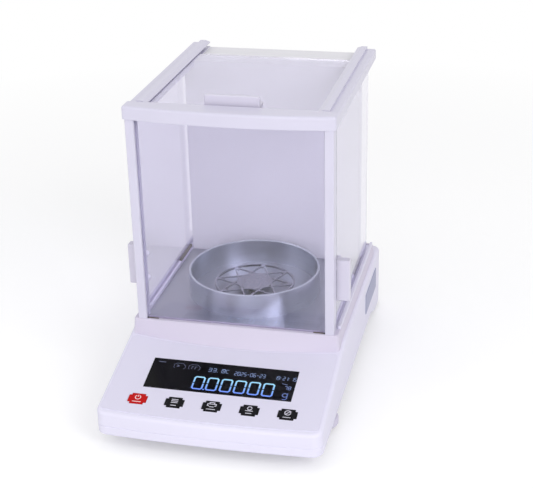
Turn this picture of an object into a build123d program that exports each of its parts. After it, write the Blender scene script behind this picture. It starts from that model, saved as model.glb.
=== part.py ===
from build123d import *
from math import cos, pi, radians, sin, tan
import os

# Semi-micro balance with a glass draft shield, in millimetres.
# Work frame: z = 0 is the deck under the glass, y = 0 the front faces of the posts, x = 0 the middle.
# Every piece is moved at the end, so that the balance stands on z = 0, centred over the origin.

# Base housing
base_half_width = 105.5
base_front_y = -112.0
base_rear_y = 237.0
base_bow = 3.5
base_front_corner = 10.0
base_rear_corner = 9.0
base_edge = 3.5
wall = 2.5
parting_z = -55.5
parting_bevel = 0.6
tray_bottom_z = -65.5
tray_edge = 2.0
block_start_y = 176.0
block_full_y = 206.0
block_bottom_z = -76.0
block_inner_x = 62.0
table_z = -80.0

# Console slope and the shelf behind it
console_slope = 13.23
console_level = -15.7
shelf_z = -12.0

# Deck platform with its riser
deck_half_width = 101.0
deck_front_y = -1.8
deck_front_bow = 0.4
deck_rear_y = 214.0
deck_corner = 3.5
deck_edge = 0.8
deck_flare = 1.6
riser_depth = 20.0
riser_foot_middle_y = -11.7
riser_foot_end_y = -2.1
deck_opening_margin = 12.0

# Draft shield
post_half_span = 96.5
post_width = 8.7
post_depth = 13.5
post_corner = 0.7
post_screw_y = 10.2
shield_height = 203.0
front_glass = 4.0
front_glass_y = 3.0
front_glass_drop = 1.2
glass_clearance = 0.2
glass_seat = 1.8
door_glass = 3.0
door_outer_x = 96.3
door_front_y = 14.5
door_rear_y = 195.0
door_bottom_z = 0.4
door_top_z = 208.0
rear_post_inner_x = 79.5
rear_post_width = 10.0
rear_post_depth = 14.0
back_panel_y = 167.0
back_panel_thick = 2.0
back_panel_half = 89.4
back_panel_low_z = 0.3
back_panel_tab = 79.0

# Top frame
bar_half_width = 98.8
bar_front_y = -8.0
bar_bow = 7.5
bar_rear_y = 16.5
bar_height = 12.5
bar_edge = 2.5
bar_corner = 3.0
bar_hollow_half = 83.0
rail_outer_x = 98.5
rail_step_x = 89.6
rail_ridge_x = 84.0
rail_inner_x = 79.3
rail_end_y = 230.0
rail_step = 2.5
rail_bevel = 1.2
door_slot_inner_x = 91.9
door_slot_outer_x = 96.9
door_slot_top_z = 209.0
top_glass = 3.0
top_glass_z = 209.5
top_glass_half = 85.6
top_glass_front_y = 11.0
top_glass_rear_y = 187.0
top_glass_play = 0.3
rear_plate_rear_y = 229.0
rear_plate_low_z = 205.0
rear_plate_top_z = 208.6

# Tracks on the deck
track_inner_x = 90.3
track_outer_x = 100.6
track_wall = 2.5
track_depth = 1.6
track_floor = 0.8
track_rise = 3.2
track_rear_y = 210.0
felt_start_y = 127.0
felt_end_y = 166.0
felt_height = 2.4

# Handles and the caps that hold them through the glass
side_handle_y = 15.8
side_grip_x = 108.5
side_grip_depth = 8.7
side_foot_depth = 12.2
side_foot_thick = 2.2
side_handle_z = 29.0
side_handle_height = 41.5
cap_first_z = 35.0
cap_spacing = 25.6
cap_y = 21.0
cap_radius = 3.5
cap_height = 5.3
cap_bevel = 1.5
cap_stem = 2.0
cap_hole = 2.3
cap_grip = 3.0
top_handle_half = 25.8
top_handle_y = 19.0
top_grip_depth = 4.0
top_foot_depth = 15.0
top_grip_z = 223.7
top_cap_x = 16.0
top_cap_y = 28.0
handle_edge = 0.8

# Weighing chamber
pan_y = 84.5
ring_radius = 65.9
ring_wall = 2.5
ring_height = 25.0
ring_edge = 0.7
pan_radius = 40.4
pan_rim = 1.8
pan_top_z = 8.4
pan_thick = 1.2
pan_disc = 18.2
pan_points = 8
pan_strut = 1.6
pan_strut_start = 32.0
pan_hub_radius = 7.0
pan_hub_depth = 4.2
shaft_radius = 4.0
shaft_collar = 6.0
cone_base = 3.0
cone_tip = 1.6
cone_height = 3.0
cone_play = 0.05
shaft_hole = 8.0
floor_thick = 1.0
floor_half = 90.0
floor_front_y = 8.4
floor_rear_y = 166.6

# Console face
overlay_thick = 0.6
overlay_half = 101.6
overlay_front_y = -107.4
overlay_front_end_y = -103.3
overlay_top_y = -13.2
overlay_top_end_y = -4.4
overlay_corner = 5.0
window_half = 70.2
window_top_y = -33.2
window_bottom_y = -71.9
window_recess = 0.9
window_fit = 0.15
window_ledge = 3.0
window_sink = 0.1
module_gap = 1.2
module_depth = 9.0
module_board = 1.6
key_row_y = -87.6
key_pitch = 35.2
key_width = 17.4
key_height = 13.0
key_notch_x = 2.4
key_notch_y = 2.3
key_stand = 0.35
key_gap = 0.35
key_flange = 1.2
key_flange_reach = 1.2
key_rest_gap = 0.1
key_travel = 0.5
key_stem = 2.0
key_stem_length = 1.7
switch_width = 5.2
switch_height = 0.8
keypad_half = 82.0
keypad_width = 16.0
keypad_boss = 5.0

# Feet
foot_x = 91.0
foot_y = -34.0
foot_stem = 3.0
foot_fit = 0.05
foot_boss = 7.0
foot_stem_top_z = -50.0
wheel_radius = 16.0
wheel_top_z = -67.0
wheel_bottom_z = -75.0
wheel_grips = 12
wheel_grip_radius = 2.0
foot_neck = 5.0
foot_pad_radius = 9.0
foot_pad_edge = 1.0
foot_pad_top_z = -76.2
rear_pad_x = 84.0
rear_pad_y = 221.0
rear_pad_radius = 8.5

# Fasteners and their bosses
boss_radius = 5.0
screw_radius = 1.5
screw_head_radius = 3.0
screw_head = 1.8
screw_fit = 0.05
housing_screw_x = 94.0
housing_screw_ys = (-94.0, 150.0)
housing_screw_length = 20.0

# Boards and sockets
main_board_half = 66.0
main_board_front_y = -98.0
main_board_rear_y = -6.0
main_board_z = -59.0
board_thick = 1.6
vent_half = 30.0
vent_start_y = 4.0
vent_width = 3.0
vent_pitch = 7.0
vent_count = 6
socket_z = -38.0
jack_x = -60.0
jack_radius = 5.7
jack_bore = 3.2
port_x = 50.0
port_width = 20.0
port_height = 10.0
socket_fit = 0.1
socket_depth = 14.0
socket_stand = 0.6
plate_start_y = 135.0
plate_end_y = 204.0
plate_low_z = -47.0
plate_top_z = -24.0
plate_thick = 0.5
bubble_y = 199.0
bubble_radius = 10.0
bubble_depth = 7.0

# Weighing cell
cell_half = 38.0
cell_front_y = 60.0
cell_rear_y = 224.0
cell_base_z = -60.0
cell_base_thick = 5.0
cell_screw_x = 30.0
cell_block_y = 150.0
cell_block_depth = 14.0
cell_block_half = 34.0
hanger_half = 10.0
hanger_depth = 15.0
hanger_top_z = -23.0
hanger_low_z = -49.0
guide_thick = 1.2
guide_gap = 0.4
guide_arm = 7.0
beam_z = -30.0
beam_height = 6.0
beam_half = 4.0
beam_front_y = 97.0
pivot_y = 112.0
pivot_post_gap = 0.6
pivot_post_width = 5.0
beam_flag = 1.5
magnet_y = 190.0
magnet_radius = 20.0
magnet_top_z = -38.0
magnet_floor = 3.0
coil_radius = 14.0
coil_wall = 1.6
coil_gap = 1.6
coil_low_z = -49.0
sensor_y = 213.0
sensor_half = 10.0
stop_y = 66.0
stop_half = 6.0
stop_gap = 0.6

# Values that follow from the ones above
slope = radians(console_slope)
shelf_start_y = (shelf_z - console_level) / tan(slope)
post_mid_x = post_half_span - post_width / 2
post_inner_x = post_half_span - post_width
glass_edge_x = post_inner_x + glass_seat
rear_post_mid = (rear_post_inner_x + rear_post_width / 2, back_panel_y + back_panel_thick + rear_post_depth / 2)
frame_top_z = shield_height + bar_height
rail_low_z = frame_top_z - rail_step
door_inner_x = door_outer_x - door_glass
top_glass_top_z = top_glass_z + top_glass
tray_floor_z = tray_bottom_z + wall
cell_floor_z = cell_base_z + cell_base_thick
pan_low_z = pan_top_z - pan_thick
hub_low_z = pan_low_z - pan_hub_depth
key_low = -wall - key_rest_gap - key_flange
keypad_top = key_low - key_stem_length - key_travel - 0.1 - switch_height
window_mid_y = (window_top_y + window_bottom_y) / 2
hanger_mid_z = (hanger_low_z + hanger_top_z) / 2
console = Plane(origin=(0, 0, console_level), x_dir=(1, 0, 0), z_dir=(0, -sin(slope), cos(slope)))
key_xs = [key_pitch * (i - 2) for i in range(5)]
cap_heights = (cap_first_z, cap_first_z + cap_spacing)
sides = (("left", -1), ("right", 1))


def span(x0, x1, y0, y1, z0, z1):
    """A block between two corners."""
    return Pos((x0 + x1) / 2, (y0 + y1) / 2, (z0 + z1) / 2) * Box(abs(x1 - x0), y1 - y0, z1 - z0)


def upright(x, y, z0, z1, radius):
    """A cylinder standing between two heights."""
    return Pos(x, y, (z0 + z1) / 2) * Cylinder(radius, z1 - z0)


def sideways(x, y, z, radius, length):
    """A cylinder lying along X, from x outwards."""
    return Pos(x + length / 2, y, z) * Rot(0, 90, 0) * Cylinder(radius, length)


def tube(x, y, z0, z1, radius, inner):
    return upright(x, y, z0, z1, radius) - upright(x, y, z0 - 1, z1 + 1, inner)


def console_z(y):
    return console_level + y * tan(slope)


def on_console(x, y, height):
    """A place on the console face, a height above it."""
    return console.location * Pos(x, y / cos(slope), height)


def console_block(x, y, width, depth, low, high):
    """A block standing square to the console face."""
    return on_console(x, y, (low + high) / 2) * Box(width, depth, high - low)


def console_pin(x, y, radius, low, high):
    return on_console(x, y, (low + high) / 2) * Cylinder(radius, high - low)


def across(points, half):
    """A side profile of (y, z) points, drawn out to both sides."""
    return extrude(Plane.YZ * make_face(Polyline(*points, close=True)), half, both=True)


def lengthwise(points, y0, y1):
    """A cross section of (x, z) points, drawn from y0 to y1."""
    start = Plane(origin=(0, y0, 0), x_dir=(-1, 0, 0), z_dir=(0, 1, 0))
    return extrude(start * make_face(Polyline(*[(-x, z) for x, z in points], close=True)), y1 - y0)


def to_side(solid, side):
    """The right-hand piece as drawn, or its mirror image on the left."""
    return solid if side > 0 else mirror(solid, Plane.YZ)


def rim_at(solid, z):
    return [edge for edge in solid.edges() if abs(edge.center().Z - z) < 0.01]


def outline(front, front_end, rear, rear_end, half):
    """A plan with a curved front edge and a straight or curved rear edge."""
    if rear == rear_end:
        back = Line((half, rear_end), (-half, rear_end))
    else:
        back = ThreePointArc((half, rear_end), (0, rear), (-half, rear_end))
    front_arc = ThreePointArc((-half, front_end), (0, front), (half, front_end))
    flanks = [Line((half, front_end), (half, rear_end)), Line((-half, rear_end), (-half, front_end))]
    return make_face([front_arc, back] + flanks)


def rounded_outline(front, front_end, rear, rear_end, half, front_corner, rear_corner):
    plan = outline(front, front_end, rear, rear_end, half)
    plan = fillet(plan.vertices().sort_by(Axis.Y)[:2], front_corner)
    return fillet(plan.vertices().sort_by(Axis.Y)[-2:], rear_corner)


def base_column(inset, z0, z1):
    """The base outline, moved in by a wall, as a column between two heights."""
    front = base_front_y + inset
    rear = base_rear_y - inset
    plan = rounded_outline(
        front, front + base_bow, rear, rear, base_half_width - inset,
        base_front_corner - inset, base_rear_corner - inset)
    return extrude(Pos(0, 0, z0) * plan, z1 - z0)


# Base housing
def upper_form(inset, bottom):
    """Outer or inner body of the upper housing: the sloping console, then a flat shelf."""
    front = base_front_y - 1
    rear = base_rear_y + 1
    profile = across([
        (front, bottom), (front, console_z(front) - inset / cos(slope)),
        (shelf_start_y, shelf_z - inset), (rear, shelf_z - inset), (rear, bottom)], base_half_width + 1)
    return profile & base_column(inset, bottom, shelf_z + 1)


def notched_key(grow, depth):
    """The key outline: a rectangle with a step out of each corner."""
    wide = Rectangle(key_width + 2 * grow, key_height - 2 * key_notch_y + 2 * grow)
    tall = Rectangle(key_width - 2 * key_notch_x + 2 * grow, key_height + 2 * grow)
    return extrude(wide + tall, depth)


def window_size(grow):
    deep = (window_top_y - window_bottom_y) / cos(slope)
    return 2 * (window_half + grow), deep + 2 * grow


def housing_screw_places():
    return [(side * housing_screw_x, y) for side in (-1, 1) for y in housing_screw_ys]


def socket_hole(x, cutter):
    return Pos(x, base_rear_y, socket_z) * Rot(90, 0, 0) * cutter


def make_upper_housing():
    outer = upper_form(0, parting_z)
    top_rim = [
        edge for edge in outer.edges()
        if edge.center().Z > parting_z + 3 and abs(edge.tangent_at(0.5).Z) < 0.9
        and not (abs(edge.center().X) < 1 and abs(edge.center().Y - shelf_start_y) < 1)]
    outer = fillet(top_rim, base_edge)
    outer = chamfer(rim_at(outer, parting_z), parting_bevel)
    shell = outer - upper_form(wall, parting_z - 1)
    side = deck_half_width - deck_opening_margin
    shell -= span(-side, side, shelf_start_y + 6, deck_rear_y - 8, shelf_z - wall - 1, shelf_z + 1)
    wide, deep = window_size(window_fit)
    shell -= console_block(0, window_mid_y, wide, deep, -window_recess, 1)
    wide, deep = window_size(-window_ledge)
    shell -= console_block(0, window_mid_y, wide, deep, -2 * wall, 1)
    for x in key_xs:
        shell -= on_console(x, key_row_y, -2 * wall) * notched_key(key_gap, 4 * wall)
    for x in key_xs[:-1]:
        shell += console_block(x + key_pitch / 2, key_row_y, keypad_boss, keypad_boss, keypad_top, -wall / 2)
    for x, y in housing_screw_places():
        top = min(console_z(y), shelf_z) - wall / 2
        shell += upright(x, y, parting_z, top, boss_radius)
        shell -= upright(x, y, parting_z - 1, parting_z + housing_screw_length, screw_radius + screw_fit)
    shell -= socket_hole(jack_x, Cylinder(jack_radius + socket_fit, 4 * wall))
    return shell - socket_hole(port_x, Box(port_width + 2 * socket_fit, port_height + 2 * socket_fit, 4 * wall))


def tray_form(inset, top):
    """Outer or inner body of the lower tray, with a deeper block under each rear corner."""
    low = tray_bottom_z + inset
    body = base_column(inset, low, top)
    if inset == 0:
        body = chamfer(rim_at(body, low), tray_edge)
        body = chamfer(rim_at(body, top), parting_bevel)
    blocks = across([
        (block_start_y + inset, low + tray_edge + 1), (block_start_y + inset, low),
        (block_full_y + inset, block_bottom_z + inset), (base_rear_y + 1, block_bottom_z + inset),
        (base_rear_y + 1, low + tray_edge + 1)], base_half_width + 1)
    blocks &= base_column(inset, block_bottom_z, parting_z)
    inner = block_inner_x + inset
    return body + (blocks - span(-inner, inner, 0, base_rear_y, block_bottom_z - 1, parting_z))


def cell_screw_places():
    return [(side * cell_screw_x, y) for side in (-1, 1) for y in (cell_front_y + 8, cell_rear_y - 10)]


def board_screw_places():
    return [(side * 60, y) for side in (-1, 1) for y in (main_board_front_y + 5, main_board_rear_y - 5)]


def make_lower_tray():
    tray = tray_form(0, parting_z) - tray_form(wall, parting_z + 1)
    for side in (-1, 1):
        tray += upright(side * foot_x, foot_y, tray_floor_z - 0.5, parting_z + 2, foot_boss)
        tray -= upright(side * foot_x, foot_y, tray_bottom_z - 1, parting_z + 3, foot_stem + foot_fit)
    for x, y in housing_screw_places():
        tray += upright(x, y, tray_floor_z - 0.5, parting_z, boss_radius)
        tray -= upright(x, y, tray_bottom_z - 1, parting_z + 1, screw_radius + screw_fit)
        tray -= upright(x, y, tray_bottom_z - 1, tray_bottom_z + screw_head, screw_head_radius + screw_fit)
    for x, y in cell_screw_places():
        tray += span(x - boss_radius, x + boss_radius, y - boss_radius, y + boss_radius,
                     tray_floor_z - 0.5, cell_base_z)
        tray -= upright(x, y, tray_floor_z - 0.5, cell_base_z + 1, screw_radius + screw_fit)
    for x, y in board_screw_places():
        tray += span(x - boss_radius, x + boss_radius, y - 3, y + 3, tray_floor_z - 0.5, main_board_z)
    for i in range(vent_count):
        y = vent_start_y + i * vent_pitch
        tray -= span(-vent_half, vent_half, y, y + vent_width, tray_bottom_z - 1, tray_floor_z + 1)
    return tray


def deck_body(inset):
    """Lofted deck block: bowed foot below, nearly straight front edge above, small bevel at the top."""
    def level(z, front, front_end, rear, half):
        plan = rounded_outline(front, front_end, rear, rear, half, deck_corner, deck_corner)
        return Pos(0, 0, z) * plan

    def top(z, inset):
        front = deck_front_y + inset
        return level(z, front, front + deck_front_bow, deck_rear_y - inset, deck_half_width - inset)

    foot = level(-riser_depth, riser_foot_middle_y + inset, riser_foot_end_y + inset,
                 deck_rear_y + deck_flare - inset, deck_half_width + deck_flare - inset)
    return loft([foot, top(-inset - deck_edge, inset), top(-inset, inset + deck_edge)], ruled=True)


def glass_groove(z0, z1):
    """Room for the lower or upper edge of the front glass."""
    edge = glass_edge_x + glass_clearance
    return span(-edge, edge, front_glass_y - glass_clearance,
                front_glass_y + front_glass + glass_clearance, z0, z1)


def frame_screw_places():
    return [(side * x, y) for side in (-1, 1) for x, y in ((post_mid_x, post_screw_y), rear_post_mid)]


def make_deck_platform():
    deck = deck_body(0) - upper_form(0, parting_z) - deck_body(wall)
    deck -= upright(0, pan_y, -wall - 1, 1, shaft_hole)
    deck -= span(-floor_half - 0.15, floor_half + 0.15, floor_front_y - 0.15, floor_rear_y + 0.15, -floor_thick, 1)
    deck -= glass_groove(-front_glass_drop, 1)
    for side in (-1, 1):
        deck -= span(side * (track_inner_x - 0.05), side * (track_outer_x + 0.05),
                     post_depth + 0.1, track_rear_y + 0.05, -track_depth, 1)
    for x, y in frame_screw_places():
        deck -= upright(x, y, -wall - 1, 1, screw_radius + screw_fit)
    return deck - upright(0, bubble_y, -wall - 1, 1, bubble_radius + screw_fit)


def make_floor_plate():
    plate = span(-floor_half, floor_half, floor_front_y, floor_rear_y, -floor_thick, 0)
    return plate - upright(0, pan_y, -floor_thick - 1, 1, shaft_hole)


def make_track():
    """Channel that guides a side door: a low wall either side of the slot."""
    inner = track_inner_x + track_wall
    outer = track_outer_x - track_wall
    floor = track_floor - track_depth
    return lengthwise([
        (track_inner_x, -track_depth), (track_outer_x, -track_depth), (track_outer_x, track_rise),
        (outer, track_rise), (outer, floor), (inner, floor), (inner, track_rise),
        (track_inner_x, track_rise)], post_depth + 0.2, track_rear_y)


# Draft shield
def make_front_post():
    post = span(post_inner_x, post_half_span, 0, post_depth, 0, shield_height)
    post = chamfer(post.edges().filter_by(Axis.Z), post_corner)
    post -= glass_groove(-1, shield_height + 1)
    return post - upright(post_mid_x, post_screw_y, -1, 12, screw_radius + screw_fit)


def make_rear_post():
    x, y = rear_post_mid
    post = span(rear_post_inner_x, rear_post_inner_x + rear_post_width,
                y - rear_post_depth / 2, y + rear_post_depth / 2, 0, shield_height)
    return post - upright(x, y, -1, 12, screw_radius + screw_fit)


def make_back_panel():
    y0, y1 = back_panel_y, back_panel_y + back_panel_thick
    panel = span(-back_panel_half, back_panel_half, y0, y1, back_panel_low_z, shield_height)
    return panel + span(-back_panel_tab, back_panel_tab, y0, y1, shield_height - 1, rear_plate_low_z)


def make_front_bar():
    """Hollow cross bar over the posts, bowed to the front, slotted for all the glass."""
    plan = rounded_outline(
        bar_front_y, bar_front_y + bar_bow, bar_rear_y, bar_rear_y, bar_half_width, bar_corner, 0.8)
    bar = extrude(Pos(0, 0, shield_height) * plan, bar_height)
    crest = [edge for edge in rim_at(bar, frame_top_z) if edge.center().Y < bar_rear_y - 0.1]
    bar = fillet(crest, bar_edge)
    inner_bow = bar_bow * (bar_hollow_half / bar_half_width) ** 2
    front = bar_front_y + wall
    hollow = outline(front, front + inner_bow, bar_rear_y - wall, bar_rear_y - wall, bar_hollow_half)
    hollow = extrude(Pos(0, 0, shield_height - 1) * hollow, bar_height - wall + 1)
    keeper = span(-bar_hollow_half, bar_hollow_half, front_glass_y - 1.4, front_glass_y + front_glass + 1.4,
                  shield_height, shield_height + 4)
    bar = bar - (hollow - keeper) - glass_groove(shield_height - 1, shield_height + 2.2)
    edge = top_glass_half + 0.6
    bar -= span(-edge, edge, top_glass_front_y - 0.4, bar_rear_y + 1,
                top_glass_z - top_glass_play, top_glass_top_z + top_glass_play)
    for side in (-1, 1):
        bar -= span(side * door_slot_inner_x, side * door_slot_outer_x, door_front_y - 0.5,
                    bar_rear_y + 1, shield_height - 1, door_slot_top_z)
    return bar


def make_rail():
    """Stepped side rail: door slot below, slot for the top glass inside, ridge above."""
    lip = top_glass_top_z + top_glass_play
    seat = top_glass_z - top_glass_play
    edge = top_glass_half + 0.6
    return lengthwise([
        (rail_inner_x, shield_height), (door_slot_inner_x, shield_height),
        (door_slot_inner_x, door_slot_top_z), (door_slot_outer_x, door_slot_top_z),
        (door_slot_outer_x, shield_height), (rail_outer_x, shield_height),
        (rail_outer_x, rail_low_z - rail_bevel), (rail_outer_x - rail_bevel, rail_low_z),
        (rail_step_x, rail_low_z), (rail_step_x, frame_top_z), (rail_ridge_x, frame_top_z),
        (rail_inner_x, lip + 1), (rail_inner_x, lip), (edge, lip), (edge, seat),
        (rail_inner_x, seat)], bar_rear_y, rail_end_y)


def make_rear_top_plate():
    return span(-rail_inner_x, rail_inner_x, back_panel_y, rear_plate_rear_y,
                rear_plate_low_z, rear_plate_top_z)


def make_front_glass():
    return span(-glass_edge_x, glass_edge_x, front_glass_y, front_glass_y + front_glass,
                -front_glass_drop, shield_height + 2)


def make_side_glass():
    glass = span(door_inner_x, door_outer_x, door_front_y, door_rear_y, door_bottom_z, door_top_z)
    for z in cap_heights:
        glass -= sideways(door_inner_x - 1, cap_y, z, cap_hole, door_glass + 2)
    return glass


def make_top_glass():
    glass = span(-top_glass_half, top_glass_half, top_glass_front_y, top_glass_rear_y,
                 top_glass_z, top_glass_top_z)
    for side in (-1, 1):
        glass -= upright(side * top_cap_x, top_cap_y, top_glass_z - 1, top_glass_top_z + 1, cap_hole)
    return glass


def make_side_handle():
    z0, z1 = side_handle_z, side_handle_z + side_handle_height
    grip = span(door_outer_x, side_grip_x, side_handle_y, side_handle_y + side_grip_depth, z0, z1)
    grip = chamfer([e for e in grip.edges() if e.center().X > door_outer_x + 1], handle_edge)
    foot = span(door_outer_x, door_outer_x + side_foot_thick, side_handle_y,
                side_handle_y + side_foot_depth, z0, z1)
    handle = grip + foot
    for z in cap_heights:
        handle -= sideways(door_outer_x - 1, cap_y, z, cap_stem + screw_fit, cap_grip + 1.2)
    return handle


def make_side_caps():
    caps = []
    for z in cap_heights:
        dome = sideways(door_inner_x - cap_height, cap_y, z, cap_radius, cap_height)
        dome = chamfer(dome.edges().group_by(Axis.X)[0], cap_bevel)
        caps.append(dome + sideways(door_inner_x - 0.5, cap_y, z, cap_stem, door_glass + cap_grip + 0.5))
    return caps


def make_top_handle():
    z = top_glass_top_z
    grip = span(-top_handle_half, top_handle_half, top_handle_y, top_handle_y + top_grip_depth, z, top_grip_z)
    grip = chamfer([e for e in grip.edges() if e.center().Z > z + 1], handle_edge)
    foot = span(-top_handle_half, top_handle_half, top_handle_y, top_handle_y + top_foot_depth, z, z + 3)
    foot = chamfer(foot.edges().filter_by(Axis.Z).sort_by(Axis.Y)[-2:], 2)
    handle = grip + foot
    for side in (-1, 1):
        handle -= upright(side * top_cap_x, top_cap_y, z - 1, z + 2.2, cap_stem + screw_fit)
    return handle


def make_top_caps():
    caps = []
    for side in (-1, 1):
        x = side * top_cap_x
        dome = upright(x, top_cap_y, top_glass_z - cap_height, top_glass_z, cap_radius)
        dome = chamfer(dome.edges().group_by(Axis.Z)[0], cap_bevel)
        caps.append(dome + upright(x, top_cap_y, top_glass_z - 0.5, top_glass_top_z + 2, cap_stem))
    return caps


# Weighing chamber
def make_draft_ring():
    ring = tube(0, pan_y, 0, ring_height, ring_radius, ring_radius - ring_wall)
    return chamfer(rim_at(ring, ring_height), ring_edge)


def make_pan():
    """Star-shaped pan: chords join every third of the points on the rim around a solid disc."""
    reach = pan_radius - pan_rim / 2
    turn = 360 / pan_points
    half_turn = radians(1.5 * turn)
    middle = (pan_low_z + pan_top_z) / 2
    web = upright(0, 0, pan_low_z, pan_top_z, pan_disc)
    for i in range(pan_points):
        chord = Pos(reach * cos(half_turn), 0, middle) * Box(pan_strut, 2 * reach * sin(half_turn), pan_thick)
        web += Rot(0, 0, (i + 1.5) * turn) * chord
        length = reach - pan_strut_start
        spoke = Pos(pan_strut_start + length / 2, 0, middle) * Box(length, pan_strut, pan_thick)
        web += Rot(0, 0, i * turn) * spoke
    pan = web + tube(0, 0, pan_low_z - 0.8, pan_top_z, pan_radius, pan_radius - pan_rim)
    pan += upright(0, 0, hub_low_z, pan_low_z + 0.2, pan_hub_radius)
    socket = Pos(0, 0, hub_low_z + cone_height / 2) * Cone(cone_base + cone_play, cone_tip + cone_play, cone_height)
    return Pos(0, pan_y, 0) * (pan - socket)


def make_pan_carrier():
    """Hanger block in the cell with the shaft and cone that carry the pan."""
    y0 = pan_y - hanger_depth / 2
    y1 = pan_y + hanger_depth / 2
    carrier = span(-hanger_half, hanger_half, y0, y1, hanger_low_z, hanger_top_z)
    carrier += upright(0, pan_y, hanger_top_z - 1, hub_low_z - 2, shaft_radius)
    carrier += upright(0, pan_y, hub_low_z - 2, hub_low_z, shaft_collar)
    carrier += Pos(0, pan_y, hub_low_z + cone_height / 2 - 0.1) * Cone(cone_base, cone_tip, cone_height - 0.2)
    lug_z = beam_z - beam_height / 2 - 3.2
    carrier += span(-hanger_half / 2, hanger_half / 2, y1 - 1, beam_front_y + 6, lug_z, lug_z + 2.4)
    return carrier + span(-stop_half + 1, stop_half - 1, stop_y + 2, y0 + 1, hanger_mid_z - 1, hanger_mid_z + 1)


# Console face
def make_overlay():
    plan = rounded_outline(
        overlay_front_y, overlay_front_end_y, overlay_top_y, overlay_top_end_y, overlay_half,
        overlay_corner, overlay_corner)
    sheet = extrude(Pos(0, 0, parting_z) * plan, -parting_z)
    middle_y = (overlay_front_y + overlay_top_y) / 2
    sheet &= console_block(0, middle_y, 2 * overlay_half + 2, 140, 0, overlay_thick)
    wide, deep = window_size(window_fit)
    sheet -= console_block(0, window_mid_y, wide, deep, -1, 2)
    for x in key_xs:
        sheet -= on_console(x, key_row_y, -1) * notched_key(key_gap, 3)
    return sheet


def make_window():
    wide, deep = window_size(0)
    return console_block(0, window_mid_y, wide, deep, -window_recess, overlay_thick - window_sink)


def make_display_module():
    """Glass display block in the opening, on a board that bears on the housing's inner face."""
    wide, deep = window_size(-window_ledge - module_gap)
    module = console_block(0, window_mid_y, wide, deep, -module_depth, -window_recess - 0.2)
    wide, deep = window_size(-0.6)
    return module + console_block(0, window_mid_y, wide, deep, -wall - module_board, -wall)


def make_key(x):
    top = overlay_thick + key_stand
    flange_top = key_low + key_flange
    cap = on_console(x, key_row_y, flange_top - 0.2) * notched_key(0, top - flange_top + 0.2)
    face = cap.faces().sort_by(Axis((0, 0, 0), (0, -sin(slope), cos(slope))))[-1]
    cap = chamfer(face.edges(), 0.25)
    flange = on_console(x, key_row_y, key_low) * notched_key(key_flange_reach, key_flange)
    return cap + flange + console_pin(x, key_row_y, key_stem, key_low - key_stem_length, flange_top)


def make_keypad():
    """Keypad board with a switch under every key."""
    board = console_block(0, key_row_y, 2 * keypad_half, keypad_width, keypad_top - board_thick, keypad_top)
    for x in key_xs:
        board += console_block(x, key_row_y, switch_width, switch_width, keypad_top - 0.5, keypad_top + switch_height)
    return board


# Feet
def make_foot_wheel(x):
    """Knurled levelling wheel on its threaded stem."""
    wheel = upright(x, foot_y, wheel_bottom_z, wheel_top_z, wheel_radius)
    for i in range(wheel_grips):
        turn = 2 * pi * i / wheel_grips
        wheel -= upright(x + wheel_radius * cos(turn), foot_y + wheel_radius * sin(turn),
                         wheel_bottom_z - 1, wheel_top_z + 1, wheel_grip_radius)
    wheel += upright(x, foot_y, foot_pad_top_z, wheel_bottom_z + 1, foot_neck)
    return wheel + upright(x, foot_y, wheel_top_z - 1, foot_stem_top_z, foot_stem)


def make_foot_pad(x):
    pad = upright(x, foot_y, table_z, foot_pad_top_z, foot_pad_radius)
    return chamfer(rim_at(pad, foot_pad_top_z), foot_pad_edge)


def make_rear_pads():
    return [upright(side * rear_pad_x, rear_pad_y, table_z, block_bottom_z, rear_pad_radius)
            for side in (-1, 1)]


# Fasteners
def hex_head(x, y, z):
    return extrude(Pos(x, y, z) * RegularPolygon(screw_head_radius, 6), screw_head)


def screw(x, y, head_z, length):
    """A screw driven from below: head at the bottom, shank upwards."""
    return (hex_head(x, y, head_z)
            + upright(x, y, head_z + screw_head - 0.5, head_z + screw_head + length, screw_radius))


def make_cell_screws():
    floor = cell_floor_z
    return [hex_head(x, y, floor)
            + upright(x, y, tray_floor_z, floor + 0.5, screw_radius) for x, y in cell_screw_places()]


# Boards and sockets
def make_main_board():
    """Main circuit board with a few of its larger components."""
    top = main_board_z + board_thick
    board = span(-main_board_half, main_board_half, main_board_front_y, main_board_rear_y, main_board_z, top)
    board += span(-48, -30, -70, -52, top - 0.5, top + 2.5)
    board += span(-10, 6, -40, -24, top - 0.5, top + 2)
    board += span(20, 56, -20, -12, top - 0.5, top + 8)
    for x in (30, 42, 54):
        board += upright(x, -60, top - 0.5, top + 9, 4)
    return board


def make_jack():
    """Round supply socket with its centre pin, open to the rear."""
    rear = base_rear_y + socket_stand
    turned = Pos(jack_x, rear - socket_depth / 2, socket_z) * Rot(90, 0, 0)
    body = turned * Cylinder(jack_radius, socket_depth)
    body -= turned * Pos(0, 0, -2) * Cylinder(jack_bore, socket_depth)
    return body + turned * Pos(0, 0, 1) * Cylinder(1, socket_depth - 2)


def make_port():
    """Rectangular interface socket with a recessed insert."""
    rear = base_rear_y + socket_stand
    body = Pos(port_x, rear - socket_depth / 2, socket_z) * Box(port_width, socket_depth, port_height)
    body -= Pos(port_x, rear, socket_z) * Box(port_width - 3, 9, port_height - 3)
    return body + Pos(port_x, rear - 4, socket_z) * Box(port_width - 6, 6, port_height - 6)


def make_side_plate():
    plate = span(base_half_width, base_half_width + plate_thick, plate_start_y, plate_end_y,
                 plate_low_z, plate_top_z)
    return fillet(plate.edges().filter_by(Axis.X), 1.5)


def make_bubble():
    """Level bubble cup in the rear of the deck."""
    cup = upright(0, bubble_y, -bubble_depth, 0.6, bubble_radius)
    return cup - upright(0, bubble_y, 0.2, 1, bubble_radius - 2)


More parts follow.
